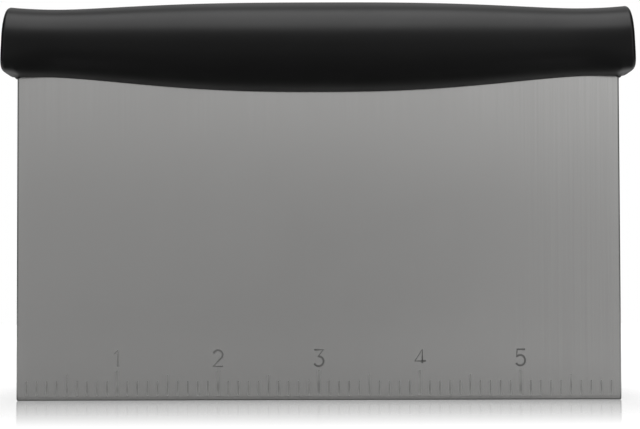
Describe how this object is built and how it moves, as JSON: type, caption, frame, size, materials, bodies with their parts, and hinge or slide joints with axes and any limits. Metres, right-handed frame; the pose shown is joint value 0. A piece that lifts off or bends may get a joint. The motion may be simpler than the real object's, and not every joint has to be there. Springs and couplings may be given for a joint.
{
  "type": "dough cutter",
  "caption": "Bench scraper for cutting and scraping dough: a straight steel blade with an inch scale under a full-width soft-grip handle.",
  "frame": {"origin": "middle of the cutting edge, on the board", "axes": "+Z from the cutting edge up to the handle, +X along the blade to the right as its scale reads, -Y the front with the scale"},
  "size_m": [0.1586, 0.0236, 0.1006],
  "materials": {
    "blade_steel": "fine upright brushing, satin",
    "rivet_steel": "plain zinc-plated",
    "core_plastic": "moulded, matt",
    "grip_rubber": "soft-touch elastomer, satin"
  },
  "bodies": {
    "root": {"blade": "blade_steel", "core_front": "core_plastic", "core_rear": "core_plastic", "rivet_left": "rivet_steel", "rivet_centre": "rivet_steel", "rivet_right": "rivet_steel", "soft_grip": "grip_rubber"}
  },
  "joints": []
}
